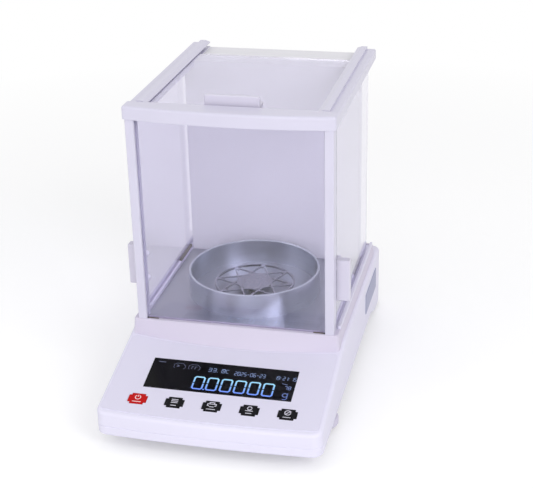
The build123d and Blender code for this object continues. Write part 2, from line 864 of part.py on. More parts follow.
# Weighing cell
def make_cell_base():
    """Base plate with the fixed block behind and the pivot posts beside the beam."""
    base = span(-cell_half, cell_half, cell_front_y, cell_rear_y, cell_base_z, cell_floor_z)
    block_rear = cell_block_y + cell_block_depth
    base += span(-cell_block_half, cell_block_half, cell_block_y, block_rear,
                 cell_floor_z - 1, hanger_top_z + guide_gap)
    tunnel = beam_half + 3
    base -= span(-tunnel, tunnel, cell_block_y - 1, block_rear + 1, beam_z - beam_height, beam_z + beam_height - 0.5)
    inner = beam_half + pivot_post_gap
    for side in (-1, 1):
        base += span(side * inner, side * (inner + pivot_post_width), pivot_y - 4, pivot_y + 4,
                     cell_floor_z - 1, beam_z + 2)
        base += span(side * (cell_half - 3), side * cell_half, cell_block_y - 30, cell_block_y + 1,
                     cell_floor_z - 1, cell_floor_z + 8)
    base -= span(-cell_block_half - 1, cell_block_half + 1, cell_block_y - 1, cell_block_y + 4,
                 hanger_low_z - guide_gap - guide_thick, hanger_low_z - guide_gap)
    for x, y in cell_screw_places():
        base -= upright(x, y, cell_base_z - 1, cell_floor_z + 1, screw_radius + screw_fit)
    return base


def guide_plan(rear):
    """Triangular guide, open in the middle around the beam and its pivot posts."""
    pad = hanger_half + 2
    front = pan_y - hanger_depth / 2 - 1
    back = pan_y + hanger_depth / 2 + 1
    wide = cell_block_half
    plan = make_face(Polyline((-pad, front), (pad, front), (pad, back), (wide, cell_block_y), (wide, rear),
                              (-wide, rear), (-wide, cell_block_y), (-pad, back), close=True))
    open_half = wide - guide_arm - 2
    gap = beam_half + pivot_post_gap + pivot_post_width + 0.5
    plan -= make_face(Polyline((-gap, pivot_y - 5), (gap, pivot_y - 5), (open_half, cell_block_y - 3),
                               (-open_half, cell_block_y - 3), close=True))
    return plan


def make_guides():
    """The two thin guides that keep the hanger upright, one over and one under it."""
    upper = extrude(guide_plan(cell_block_y + cell_block_depth - 2), guide_thick)
    upper -= upright(0, pan_y, -1, guide_thick + 1, shaft_radius + 1)
    lower = extrude(guide_plan(cell_block_y + 4), guide_thick)
    return Pos(0, 0, hanger_top_z + guide_gap) * upper, Pos(0, 0, hanger_low_z - guide_gap - guide_thick) * lower


def make_beam():
    """Balance beam from the hanger's lug, over the pivot, back to the coil and the sensor flag."""
    low = beam_z - beam_height / 2
    beam = span(-beam_half, beam_half, beam_front_y, magnet_y + 4, low, beam_z + beam_height / 2)
    beam += span(-beam_flag, beam_flag, magnet_y + 3, sensor_y + 4, beam_z - 1, beam_z + 1)
    return beam - Pos(0, pivot_y, low) * Rot(0, 90, 0) * Cylinder(1.2, 2 * beam_half + 2)


def make_coil():
    top = beam_z - beam_height / 2
    coil = tube(0, magnet_y, coil_low_z, top, coil_radius, coil_radius - coil_wall)
    return coil + upright(0, magnet_y, top - 1.6, top, coil_radius)


def make_magnet():
    """Magnet pot: a cup with a centre pole, open upwards for the coil."""
    pot = upright(0, magnet_y, cell_floor_z, magnet_top_z, magnet_radius)
    return pot - tube(0, magnet_y, cell_floor_z + magnet_floor, magnet_top_z + 1,
                      coil_radius + coil_gap, coil_radius - coil_wall - coil_gap)


def make_sensor():
    """Slotted light sensor that reads the beam's position."""
    body = span(-sensor_half, sensor_half, sensor_y - 2, sensor_y + 4, cell_floor_z, beam_z + 6)
    slot = beam_flag + 1
    return body - span(-slot, slot, sensor_y - 3, sensor_y + 5, beam_z - 5, beam_z + 7)


def make_overload_stop():
    """Bracket whose two jaws limit the hanger's travel."""
    bracket = span(-stop_half, stop_half, stop_y - 4, stop_y + 6, cell_floor_z, hanger_mid_z + 6)
    reach = 1 + stop_gap
    return bracket - span(-stop_half - 1, stop_half + 1, stop_y, stop_y + 7, hanger_mid_z - reach, hanger_mid_z + reach)


def save(name, pieces):
    """Move the pieces of one node into the standing frame and write them."""
    pieces = list(pieces) if isinstance(pieces, (list, tuple)) else [pieces]
    move = Pos(0, -(base_front_y + base_rear_y) / 2, -table_z)
    placed = [move * piece for piece in pieces]
    export_step(placed[0] if len(placed) == 1 else Compound(children=placed), f"parts/{name}.step")


os.makedirs("parts", exist_ok=True)
save("upper_housing", make_upper_housing())
save("lower_tray", make_lower_tray())
save("deck_platform", make_deck_platform())
save("floor_plate", make_floor_plate())
save("back_panel", make_back_panel())
save("front_bar", make_front_bar())
save("rear_top_plate", make_rear_top_plate())
save("front_glass", make_front_glass())
save("top_door_glass", make_top_glass())
save("top_door_handle", make_top_handle())
save("top_door_caps", make_top_caps())
save("draft_ring", make_draft_ring())
save("weighing_pan", make_pan())
save("pan_carrier", make_pan_carrier())
save("console_overlay", make_overlay())
save("display_window", make_window())
save("display_module", make_display_module())
save("keypad_board", make_keypad())
save("main_board", make_main_board())
save("rear_pads", make_rear_pads())
save("frame_screws", [screw(x, y, -wall - screw_head, wall + 10) for x, y in frame_screw_places()])
save("cell_screws", make_cell_screws())
save("housing_screws", [screw(x, y, tray_bottom_z, 24) for x, y in housing_screw_places()])
save("supply_jack", make_jack())
save("data_port", make_port())
save("side_plate", make_side_plate())
save("level_bubble", make_bubble())
save("cell_base", make_cell_base())
save("parallel_guides", make_guides())
save("balance_beam", make_beam())
save("force_coil", make_coil())
save("magnet_pot", make_magnet())
save("position_sensor", make_sensor())
save("overload_stop", make_overload_stop())

for key_name, key_x in zip(("power_key", "menu_key", "print_key", "count_key", "tare_key"), key_xs):
    save(key_name, make_key(key_x))

felt = span(track_inner_x, track_inner_x + track_wall, felt_start_y, felt_end_y,
            track_rise, track_rise + felt_height)
save("track_felts", [to_side(felt, side) for name, side in sides])

for name, side in sides:
    save(f"{name}_track", to_side(make_track(), side))
    save(f"{name}_front_post", to_side(make_front_post(), side))
    save(f"{name}_rear_post", to_side(make_rear_post(), side))
    save(f"{name}_side_rail", to_side(make_rail(), side))
    save(f"{name}_door_glass", to_side(make_side_glass(), side))
    save(f"{name}_door_handle", to_side(make_side_handle(), side))
    save(f"{name}_door_caps", [to_side(cap, side) for cap in make_side_caps()])
    save(f"{name}_foot_wheel", make_foot_wheel(side * foot_x))
    save(f"{name}_foot_pad", make_foot_pad(side * foot_x))
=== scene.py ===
import math

import bmesh
import bpy
import numpy as np
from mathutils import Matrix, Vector


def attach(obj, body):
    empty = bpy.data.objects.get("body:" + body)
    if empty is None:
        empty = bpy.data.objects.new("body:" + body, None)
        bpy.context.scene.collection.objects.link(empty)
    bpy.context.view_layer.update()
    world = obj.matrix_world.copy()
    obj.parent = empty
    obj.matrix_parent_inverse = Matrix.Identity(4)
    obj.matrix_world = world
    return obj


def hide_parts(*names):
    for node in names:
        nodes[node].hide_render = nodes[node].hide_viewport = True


# Looks for a semi-micro balance, in metres, in the CAD part's own frame. Most places are given in
# millimetres, either from the middle of the deck's front edge or along the console's sloping face.
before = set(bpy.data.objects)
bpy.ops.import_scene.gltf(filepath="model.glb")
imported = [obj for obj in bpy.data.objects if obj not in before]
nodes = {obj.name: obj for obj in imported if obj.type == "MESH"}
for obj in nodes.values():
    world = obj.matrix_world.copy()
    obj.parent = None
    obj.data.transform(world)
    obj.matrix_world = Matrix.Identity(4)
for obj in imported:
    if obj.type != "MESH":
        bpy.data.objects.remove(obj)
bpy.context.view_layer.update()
print("frame loaded with", len(nodes), "nodes")

deckOffset = np.array([0.0, -62.5, 80.0])
slope = math.radians(13.23)
consoleOrigin = np.array([0.0, 0.0, -15.7])
consoleAcross = np.array([1.0, 0.0, 0.0])
consoleUphill = np.array([0.0, math.cos(slope), math.sin(slope)])
consoleOut = np.array([0.0, -math.sin(slope), math.cos(slope)])


def deck(points):  # millimetres from the middle of the deck's front edge to metres in the frame
    return (np.asarray(points, float) + deckOffset) / 1000


def onConsole(points):  # (x, uphill, out) in millimetres on the console face to the frame
    points = np.asarray(points, float)
    spot = consoleOrigin + points[..., :1] * consoleAcross + points[..., 1:2] * consoleUphill
    return deck(spot + points[..., 2:3] * consoleOut)


class Number:  # a shader value; sums with it add Math nodes
    def __init__(self, shader, socket):
        self.shader = shader
        self.socket = socket

    def math(self, operation, *others):
        return self.shader.math(operation, self, *others)

    def __add__(self, other):
        return self.math("ADD", other)

    def __sub__(self, other):
        return self.math("SUBTRACT", other)

    def __rsub__(self, other):
        return self.shader.math("SUBTRACT", other, self)

    def __mul__(self, other):
        return self.math("MULTIPLY", other)

    def __truediv__(self, other):
        return self.math("DIVIDE", other)

    def __rtruediv__(self, other):
        return self.shader.math("DIVIDE", other, self)

    def __pow__(self, other):
        return self.math("POWER", other)

    __radd__ = __add__
    __rmul__ = __mul__


class Shader:  # one material and the few kinds of node that the looks are made of
    def __init__(self, name, world=None):
        self.owner = world or bpy.data.materials.new(name)
        self.owner.use_nodes = True
        self.tree = self.owner.node_tree
        self.tree.nodes.clear()

    def node(self, kind, settings=None, inputs=None):
        made = self.tree.nodes.new(kind)
        for key, value in (settings or {}).items():
            setattr(made, key, value)
        for key, value in (inputs or {}).items():
            if isinstance(value, Number):
                self.tree.links.new(value.socket, made.inputs[key])
            elif isinstance(value, bpy.types.NodeSocket):
                self.tree.links.new(value, made.inputs[key])
            else:
                made.inputs[key].default_value = value
        return made

    def math(self, operation, *values):
        made = self.node("ShaderNodeMath", {"operation": operation}, dict(enumerate(values)))
        return Number(self, made.outputs[0])

    def place(self, centre=(0, 0, 0), scale=(1, 1, 1)):  # Object coordinates about a centre, stretched
        spot = self.node("ShaderNodeTexCoord").outputs["Object"]
        spot = self.node("ShaderNodeVectorMath", {"operation": "SUBTRACT"}, {0: spot, 1: centre}).outputs[0]
        return self.node("ShaderNodeVectorMath", {"operation": "MULTIPLY"}, {0: spot, 1: scale}).outputs[0]

    def axes(self, vector):
        made = self.node("ShaderNodeSeparateXYZ", inputs={0: vector})
        return [Number(self, output) for output in made.outputs]

    def vector(self, x, y, z):
        return self.node("ShaderNodeCombineXYZ", inputs={0: x, 1: y, 2: z}).outputs[0]

    def noise(self, vector, scale, detail=2.0, roughness=0.5):
        made = self.node("ShaderNodeTexNoise", inputs={
            "Vector": vector, "Scale": scale, "Detail": detail, "Roughness": roughness})
        return Number(self, made.outputs[0])

    def mix(self, factor, first, second):
        made = self.node("ShaderNodeMix", {"data_type": "RGBA"}, {0: factor, 6: first, 7: second})
        return made.outputs[2]

    def bump(self, height, strength, distance):
        return self.node("ShaderNodeBump", inputs={
            "Height": height, "Strength": strength, "Distance": distance}).outputs[0]

    def finish(self, inputs):
        surface = self.node("ShaderNodeBsdfPrincipled", inputs=inputs)
        self.node("ShaderNodeOutputMaterial", inputs={"Surface": surface.outputs[0]})
        return self.owner


def colour(text, lighten=0.0):  # "#rrggbb" as drawn on the screen to linear light, with alpha
    parts = np.array([int(text[i:i + 2], 16) / 255 for i in (1, 3, 5)])
    parts = parts + (1 - parts) * lighten if lighten > 0 else parts * (1 + lighten)
    linear = np.where(parts <= 0.04045, parts / 12.92, ((parts + 0.055) / 1.055) ** 2.4)
    return (*linear, 1.0)


# Finishes
mouldedLook = {"cloud": 18.0, "cloudDetail": 3.0, "grainDetail": 2.0, "glossSpread": 0.1, "bump": 0.35}


def moulded(name, shade, roughness=0.42, grain=1500.0, depth=0.00003, mottle=0.02, coat=0.0, shine=0.5):
    # shade moves by the mottle with a slow noise; a fine noise of a millimetre or less gives the grain
    shader = Shader(name)
    spot = shader.place()
    slow = shader.noise(spot, mouldedLook["cloud"], mouldedLook["cloudDetail"])
    fine = shader.noise(spot, grain, mouldedLook["grainDetail"])
    return shader.finish({
        "Base Color": shader.mix(slow, colour(shade, -mottle), colour(shade, mottle)),
        "Roughness": roughness + (slow - 0.5) * mouldedLook["glossSpread"],
        "Coat Weight": coat, "Specular IOR Level": shine,
        "Normal": shader.bump(fine, mouldedLook["bump"], depth)})


brushedLook = {
    "fine": 2600.0, "along": 9.0, "detail": 3.0, "harshness": 0.6, "cloud": 14.0, "cloudDetail": 2.0,
    "streakShare": 0.7, "contrast": 0.12, "glossSpread": 0.16, "bump": 0.3, "depth": 0.00001,
}


def brushed(name, shade, roughness, along):
    # noise stretched a few hundred times along one axis, as a belt leaves it
    look = brushedLook
    shader = Shader(name)
    scale = [look["fine"]] * 3
    scale[along] = look["along"]
    streak = shader.noise(shader.place(scale=scale), 1.0, look["detail"], look["harshness"])
    cloud = shader.noise(shader.place(), look["cloud"], look["cloudDetail"])
    tone = streak * look["streakShare"] + cloud * (1 - look["streakShare"])
    return shader.finish({
        "Base Color": shader.mix(tone, colour(shade, -look["contrast"]), colour(shade, look["contrast"])),
        "Metallic": 1.0, "Roughness": roughness + (streak - 0.5) * look["glossSpread"],
        "Normal": shader.bump(streak, look["bump"], look["depth"])})


turnedLook = {
    "fine": 2200.0, "around": 2.5, "detail": 3.0, "harshness": 0.6, "cloud": 16.0, "cloudDetail": 2.0,
    "streakShare": 0.65, "contrast": 0.1, "glossSpread": 0.14, "bump": 0.3, "depth": 0.00001,
}


def turned(name, shade, roughness, centre):
    # the same streaks wrapped round an upright axis: noise of (radius, height, angle)
    look = turnedLook
    shader = Shader(name)
    x, y, z = shader.axes(shader.place(centre=centre))
    radius = (x * x + y * y) ** 0.5
    angle = shader.math("ARCTAN2", y, x)
    wrapped = shader.vector(radius * look["fine"], z * look["fine"], angle * look["around"])
    streak = shader.noise(wrapped, 1.0, look["detail"], look["harshness"])
    cloud = shader.noise(shader.place(), look["cloud"], look["cloudDetail"])
    tone = streak * look["streakShare"] + cloud * (1 - look["streakShare"])
    return shader.finish({
        "Base Color": shader.mix(tone, colour(shade, -look["contrast"]), colour(shade, look["contrast"])),
        "Metallic": 1.0, "Roughness": roughness + (streak - 0.5) * look["glossSpread"],
        "Normal": shader.bump(streak, look["bump"], look["depth"])})


clearLook = {
    "stretch": (1.0, 2.2, 1.0), "marks": 9.0, "detail": 4.0, "harshness": 0.65, "smear": 0.02,
    "ior": 1.45, "through": "#F4F3F9",
}


def clear(name, tint):
    # glass with faint wiping marks in its gloss; light from the lamps and the sky passes it
    look = clearLook
    shader = Shader(name)
    spot = shader.place(scale=look["stretch"])
    marks = shader.noise(spot, look["marks"], look["detail"], look["harshness"])
    pane = shader.node("ShaderNodeBsdfPrincipled", inputs={
        "Base Color": colour(tint), "Roughness": (marks - 0.5).math("MAXIMUM", 0.0) * look["smear"],
        "IOR": look["ior"], "Transmission Weight": 1.0})
    passing = shader.node("ShaderNodeBsdfTransparent", inputs={"Color": colour(look["through"])})
    rays = shader.node("ShaderNodeLightPath")
    either = shader.node("ShaderNodeMixShader", inputs={
        0: rays.outputs["Is Shadow Ray"], 1: pane.outputs[0], 2: passing.outputs[0]})
    shader.node("ShaderNodeOutputMaterial", inputs={"Surface": either.outputs[0]})
    return shader.owner


feltLook = {
    "fibres": 2600.0, "detail": 6.0, "harshness": 0.75, "dark": -0.35, "pale": 0.15, "roughness": 0.95,
    "sheen": 0.3, "bump": 0.9, "depth": 0.0003,
}


def felted(name, shade):
    look = feltLook
    shader = Shader(name)
    fibres = shader.noise(shader.place(), look["fibres"], look["detail"], look["harshness"])
    return shader.finish({
        "Base Color": shader.mix(fibres, colour(shade, look["dark"]), colour(shade, look["pale"])),
        "Roughness": look["roughness"], "Sheen Weight": look["sheen"],
        "Normal": shader.bump(fibres, look["bump"], look["depth"])})


glowLook = {"base": "#101018", "roughness": 0.4, "cells": 4200.0, "cellDetail": 1.0, "cellShare": 0.12}


def glowing(name, top, bottom, low, high, strength):
    # display segments: colour runs from bottom to top with the distance uphill on the console
    look = glowLook
    shader = Shader(name)
    y, z = shader.axes(shader.place())[1:]
    span = (y * math.cos(slope) + z * math.sin(slope) - low) / (high - low)
    cells = shader.noise(shader.place(), look["cells"], look["cellDetail"])
    share = (span + (cells - 0.5) * look["cellShare"]).math("MINIMUM", 1.0).math("MAXIMUM", 0.0)
    return shader.finish({
        "Base Color": colour(look["base"]), "Roughness": look["roughness"],
        "Emission Color": shader.mix(share, colour(bottom), colour(top)), "Emission Strength": strength})


def uphill(value):  # millimetres uphill to the distance that the glowing finish measures
    spot = onConsole([0.0, value, 0.0])
    return spot[1] * math.cos(slope) + spot[2] * math.sin(slope)


panCentre = tuple(deck([0.0, 84.5, 0.0]))
finishes = {
    "body": moulded("bodyPlastic", "#E0DDEF", 0.40),
    # the deck moulding is coloured darker and pinker than the body as painted shade of its upright riser and
    # side drop
    "deck": moulded("deckPlasticPaintedShade", "#D0C9DC", 0.45),
    "frame": moulded("framePaint", "#D0CDDF", 0.34, grain=900.0, depth=0.00002, coat=0.15),
    "panel": moulded("panelPaint", "#E4E3E8", 0.5, grain=900.0, depth=0.00002),
    "floor": brushed("floorSteel", "#BBBDC7", 0.4, along=0),
    "ring": turned("ringSteel", "#CDD3DC", 0.3, panCentre),
    "pan": turned("panSteel", "#A6A6B2", 0.26, panCentre),
    "glass": clear("shieldGlass", "#EFEDF8"),
    "handle": moulded("handlePlastic", "#D3CFDF", 0.38),
    "cap": moulded("capPlastic", "#F4F2FA", 0.22, depth=0.000005),
    "felt": felted("trackFelt", "#5E5148"),
    "overlay": moulded("overlayFilm", "#DAD7E9", 0.62, grain=2400.0, depth=0.00001, mottle=0.012),
    "window": moulded("displayWindow", "#030306", 0.16, depth=0.000002, mottle=0.01, shine=0.12),
    "keyBlack": moulded("blackKey", "#08080B", 0.5, grain=2200.0, shine=0.15),
    "keyRed": moulded("redKey", "#BC0505", 0.5, grain=2200.0, shine=0.15),
    "board": moulded("boardGreen", "#2F6B45", 0.35),
    "module": moulded("displayModule", "#15161C", 0.25),
    "alloy": brushed("cellAlloy", "#B4B6BC", 0.38, along=1),
    "dark": brushed("magnetSteel", "#6C6F76", 0.42, along=2),
    "copper": brushed("coilWinding", "#B87346", 0.35, along=0),
    "screw": brushed("screwSteel", "#8D8F96", 0.3, along=0),
    "socket": moulded("socketPlastic", "#1C1C20", 0.4),
    "plate": moulded("plateFilm", "#8E90B5", 0.36, grain=1200.0, mottle=0.05),
    "bubble": moulded("bubbleCup", "#34343A", 0.3),
    "rubber": moulded("footRubber", "#B7A98F", 0.75, grain=1100.0, depth=0.00005),
    "wheel": moulded("wheelPlastic", "#CFCADC", 0.42),
    "icon": moulded("iconInk", "#D9D7E4", 0.6),
    "iconWhite": moulded("iconInkWhite", "#F0D9DC", 0.6),
}

dressed = {
    "body": ["lower_tray", "upper_housing", "left_track", "right_track"],
    "deck": ["deck_platform"],
    "frame": ["left_front_post", "right_front_post", "left_rear_post", "right_rear_post", "front_bar",
              "left_side_rail", "right_side_rail"],
    "panel": ["rear_top_plate", "back_panel"],
    "floor": ["floor_plate"],
    "ring": ["draft_ring"],
    "pan": ["weighing_pan"],
    "glass": ["front_glass", "left_door_glass", "right_door_glass", "top_door_glass"],
    "handle": ["left_door_handle", "right_door_handle", "top_door_handle"],
    "cap": ["left_door_caps", "right_door_caps", "top_door_caps"],
    "felt": ["track_felts"],
    "overlay": ["console_overlay"],
    "window": ["display_window"],
    "keyBlack": ["menu_key", "print_key", "count_key", "tare_key"],
    "keyRed": ["power_key"],
    "board": ["keypad_board", "main_board"],
    "module": ["display_module"],
    "alloy": ["pan_carrier", "cell_base", "parallel_guides", "balance_beam"],
    "dark": ["magnet_pot", "overload_stop"],
    "copper": ["force_coil"],
    "screw": ["cell_screws", "housing_screws", "frame_screws"],
    "socket": ["position_sensor", "supply_jack", "data_port"],
    "plate": ["side_plate"],
    "bubble": ["level_bubble"],
    "rubber": ["left_foot_pad", "right_foot_pad", "rear_pads"],
    "wheel": ["left_foot_wheel", "right_foot_wheel"],
}
for finish, names in dressed.items():
    for name in names:
        nodes[name].data.materials.clear()
        nodes[name].data.materials.append(finishes[finish])
bare = sorted(set(nodes) - {name for names in dressed.values() for name in names})
print("finishes on the CAD nodes; bare ones:", bare)


# Shapes
def grid(points, closeAlong=False, closeAcross=False):
    # points[i, j] with i along and j across; each quad joins (i, j), (i + 1, j), (i + 1, j + 1), (i, j + 1)
    along, across = points.shape[:2]
    rows = np.arange(along if closeAlong else along - 1)
    columns = np.arange(across if closeAcross else across - 1)
    i, j = np.meshgrid(rows, columns, indexing="ij")
    nextI = (i + 1) % along
    nextJ = (j + 1) % across
    quads = np.stack([i * across + j, nextI * across + j, nextI * across + nextJ, i * across + nextJ], -1)
    return points.reshape(-1, 3), quads.reshape(-1, 4)


meshing = {"apart": 2e-6, "sliver": 1e-7, "crease": 35.0}  # metres, metres and degrees


def piece(name, parts, finish, body, stands=()):
    # joins the grids into one mesh, welds seams and poles, and turns the faces outwards
    starts = np.cumsum([0] + [len(points) for points, corners in parts[:-1]])
    points = np.concatenate([points for points, corners in parts])
    quads = np.concatenate([corners + start for (spots, corners), start in zip(parts, starts)])
    mesh = bpy.data.meshes.new(name)
    mesh.vertices.add(len(points))
    mesh.vertices.foreach_set("co", points.astype(np.float32).ravel())
    mesh.loops.add(quads.size)
    mesh.loops.foreach_set("vertex_index", quads.astype(np.int32).ravel())
    mesh.polygons.add(len(quads))
    mesh.polygons.foreach_set("loop_start", np.arange(0, quads.size, 4, dtype=np.int32))
    mesh.update(calc_edges=True)
    mesh.validate()
    work = bmesh.new()
    work.from_mesh(mesh)
    bmesh.ops.remove_doubles(work, verts=work.verts, dist=meshing["apart"])
    bmesh.ops.dissolve_degenerate(work, edges=work.edges, dist=meshing["sliver"])
    bmesh.ops.recalc_face_normals(work, faces=work.faces)
    work.to_mesh(mesh)
    work.free()
    mesh.polygons.foreach_set("use_smooth", np.ones(len(mesh.polygons), bool))
    mesh.set_sharp_from_angle(angle=math.radians(meshing["crease"]))
    made = bpy.data.objects.new(name, mesh)
    bpy.context.scene.collection.objects.link(made)
    mesh.materials.append(finishes[finish])
    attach(made, body)
    if stands:
        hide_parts(*stands)
    return made


def stroke(path, width, low, high, closed=False):
    # a flat ribbon of the given width and height along a path: point + normal * offset / cos(half the bend)
    path = np.asarray(path, float)
    ahead = np.roll(path, -1, 0) - path
    behind = path - np.roll(path, 1, 0)
    if not closed:
        ahead[-1] = behind[-1]
        behind[0] = ahead[0]
    ahead = ahead / np.linalg.norm(ahead, axis=1, keepdims=True)
    behind = behind / np.linalg.norm(behind, axis=1, keepdims=True)
    middle = ahead + behind
    middle = middle / np.linalg.norm(middle, axis=1, keepdims=True)
    reach = 1 / np.clip((middle * ahead).sum(1), 0.4, 1.0)
    normal = np.stack([-middle[:, 1], middle[:, 0]], 1) * reach[:, None]
    profile = np.array([[-0.5, low], [0.5, low], [0.5, high], [-0.5, high]])
    flat = path[:, None, :] + normal[:, None, :] * (profile[:, 0] * width)[None, :, None]
    tall = np.broadcast_to(profile[:, 1][None, :, None], flat.shape[:2] + (1,))
    rows = np.concatenate([flat, tall], 2)
    if not closed:
        ends = [np.repeat(rows[k:k + 1].mean(1, keepdims=True), 4, 1) for k in (0, -1)]
        rows = np.concatenate([ends[0], rows, ends[1]])
    points, quads = grid(rows, closeAlong=closed, closeAcross=True)
    return onConsole(points), quads


def arc(x, y, radius, start, end, count):
    turn = np.radians(np.linspace(start, end, count))
    return np.stack([x + radius * np.cos(turn), y + radius * np.sin(turn)], 1)


def lathe(profile, centre, around, wave=None):
    # profile of (radius, height) turned about an upright axis; wave(angle, radius, height) moves the radius
    profile = np.asarray(profile, float)
    angle = np.linspace(0, 2 * math.pi, around, endpoint=False)
    radius = np.broadcast_to(profile[:, :1], (len(profile), around))
    height = np.broadcast_to(profile[:, 1:2], (len(profile), around))
    if wave:
        radius = wave(angle[None, :], radius, height)
    rows = np.stack([radius * np.cos(angle), radius * np.sin(angle), height], -1) + np.array(centre)
    return grid(rows, closeAcross=True)


# Display readout, in millimetres on the console's face; low and high are heights above it
readout = {
    "zeros": 6, "zeroLeft": -24.6, "zeroPitch": 13.24, "zeroWidth": 9.4, "zeroLow": -69.6,
    "zeroHigh": -54.0, "zeroStroke": 1.5, "zeroCorner": 1.3, "zeroGap": 0.55, "pointGap": 1.9,
    "pointHalf": 0.7, "pointStroke": 1.3, "segmentInset": 0.06, "low": 0.5, "high": 0.53,
}
glows = {  # colours at the top and the bottom, where those lie uphill, and strength
    "zero": ("#A4E2FF", "#6C92FF", -53.2, -70.4, 1.0),
    "small": ("#8FA6D2", "#5F78C4", -38.0, -72.0, 0.75),
    "dim": ("#6F789C", "#5A6288", -36.0, -74.0, 0.5),
}
segmentEnds = {  # the seven segments in units of the digit's width and height
    "a": ((0, 1), (1, 1)), "b": ((1, 1), (1, 0.5)), "c": ((1, 0.5), (1, 0)), "d": ((0, 0), (1, 0)),
    "e": ((0, 0.5), (0, 0)), "f": ((0, 1), (0, 0.5)), "g": ((0, 0.5), (1, 0.5)),
}
digitSegments = {
    "0": "abcdef", "1": "bc", "2": "abged", "3": "abgcd", "4": "fgbc", "5": "afgcd", "6": "afgedc",
    "7": "abc", "8": "abcdefg", "9": "abcdfg", "-": "g", "C": "afed", "o": "abfg",
}
smallRows = [  # text, left, low, width, height, pitch and line
    ("33.0", -14.9, -45.6, 3.1, 4.6, 4.3, 0.62),
    ("oC", -1.0, -45.6, 2.4, 4.2, 3.3, 0.55),
    ("2025-06-23", 10.7, -47.0, 2.0, 4.5, 3.03, 0.55),
    ("19:21:15", 49.2, -47.3, 1.9, 4.4, 2.62, 0.55),
    ("78", 61.0, -58.9, 2.2, 4.0, 3.4, 0.6),
]
gaugeFrame = [(1.2, -45.2), (0, -44.2), (0, -40.2), (2.4, -38.6), (8.2, -38.6), (11.0, -41.6),
              (11.0, -44.4), (9.6, -45.6)]


def litMark(path, line):
    return stroke(path, line, readout["low"], readout["high"])


def bigZero(left):
    s = readout
    middle = (s["zeroLow"] + s["zeroHigh"]) / 2
    right = left + s["zeroWidth"]
    corner = s["zeroCorner"]
    strokes = []
    for edge, turn in ((s["zeroHigh"], -1), (s["zeroLow"], 1)):
        start = middle - turn * s["zeroGap"]
        path = [(left, start), (left, edge + turn * corner), (left + corner, edge), (right - corner, edge),
                (right, edge + turn * corner), (right, start)]
        strokes.append(litMark(path, s["zeroStroke"]))
    return strokes


def smallDigits(text, left, low, width, height, pitch, line):
    # a point stands on the line, and a colon's two dots lie at 0.3 and 0.7 of the height
    strokes = []
    for i, letter in enumerate(text):
        x = left + i * pitch
        dots = {".": (0.0,), ":": (0.3, 0.7)}.get(letter, ())
        for y in [low + height * share for share in dots]:
            strokes.append(litMark([(x, y), (x + line, y)], line))
        for segment in digitSegments.get(letter, ""):
            (x0, y0), (x1, y1) = segmentEnds[segment]
            start = np.array([x + x0 * width, low + y0 * height])
            end = np.array([x + x1 * width, low + y1 * height])
            inset = (end - start) * readout["segmentInset"]
            strokes.append(litMark([start + inset, end - inset], line))
    return strokes


for finish, (top, bottom, high, low, strength) in glows.items():
    finishes[finish] = glowing(finish + "Glow", top, bottom, uphill(low), uphill(high), strength)

zeros = []
for index in range(readout["zeros"]):
    zeros += bigZero(readout["zeroLeft"] + index * readout["zeroPitch"])
pointAt = readout["zeroLeft"] + readout["zeroWidth"] + readout["pointGap"]
pointPath = [(pointAt + side * readout["pointHalf"], readout["zeroLow"]) for side in (-1, 1)]
piece("displayZeros", zeros + [litMark(pointPath, readout["pointStroke"])], "zero", "base")

smallMarks = [  # path and line: the bowl and the tail of the unit sign, then two dashes
    (arc(63.0, -66.4, 2.3, -10, 350, 22), 0.9),
    ([(65.3, -63.6), (65.3, -70.4), (64.0, -71.9), (61.4, -71.9)], 0.9),
    ([(57.4, -51.9), (62.8, -52.9)], 0.5),
    ([(69.6, -56.4), (70.0, -56.6)], 0.8),
]
smallItems = [item for row in smallRows for item in smallDigits(*row)]
smallItems += [litMark(path, line) for path, line in smallMarks]
piece("displaySmall", smallItems, "small", "base")

dimMarks = [  # path and line: a dash, two gauge frames, what they hold and another dash
    ([(-64.8, -38.6), (-57.9, -38.8)], 0.9),
    (np.array(gaugeFrame) + (-48.9, 0), 0.45),
    (np.array(gaugeFrame) + (-34.6, 0), 0.45),
    ([(-46.2, -41.0), (-44.0, -42.2), (-46.2, -43.4)], 0.9),
    ([(-31.4, -44.6), (-31.4, -41.4), (-29.6, -41.4)], 0.6),
    ([(-28.2, -44.6), (-28.2, -41.4), (-26.4, -41.4)], 0.6),
    ([(-64.4, -73.2), (-62.4, -73.4)], 0.6),
]
piece("displayDim", [litMark(path, line) for path, line in dimMarks], "dim", "base")
print("display readout made")

# Key symbols, each in millimetres about its own middle, with a bar below
keys = {
    "y": -87.6 / math.cos(slope), "pitch": 35.2, "symbolUp": 1.6, "barDown": 3.9, "line": 0.75,
    "low": 0.95, "high": 0.98,
}
barHalves = {"power": 4.2, "menu": 2.6, "print": 4.2, "count": 2.8, "tare": 3.6}
symbols = {
    "power": [arc(0, 0, 2.5, 125, 415, 26), [(0, 0.6), (0, 3.0)]],
    "menu": [[(-3.2, y), (3.2, y)] for y in (1.9, 0.0, -1.9)],
    "print": [[(-2.6, -1.2), (-4.0, -1.2), (-4.0, 1.0), (4.0, 1.0), (4.0, -1.2), (2.6, -1.2)],
              [(-2.2, 1.2), (-2.2, 2.9), (2.2, 2.9), (2.2, 1.2)], [(-2.2, -2.4), (2.2, -2.4)]],
    "count": [arc(0, 0.8, 2.0, 0, 340, 24), [(-3.6, -2.4), (3.6, -2.4)]],
    "tare": [arc(0, 0.2, 2.7, 0, 352, 26), [(-2.3, -2.3), (2.5, 2.6)]],
}
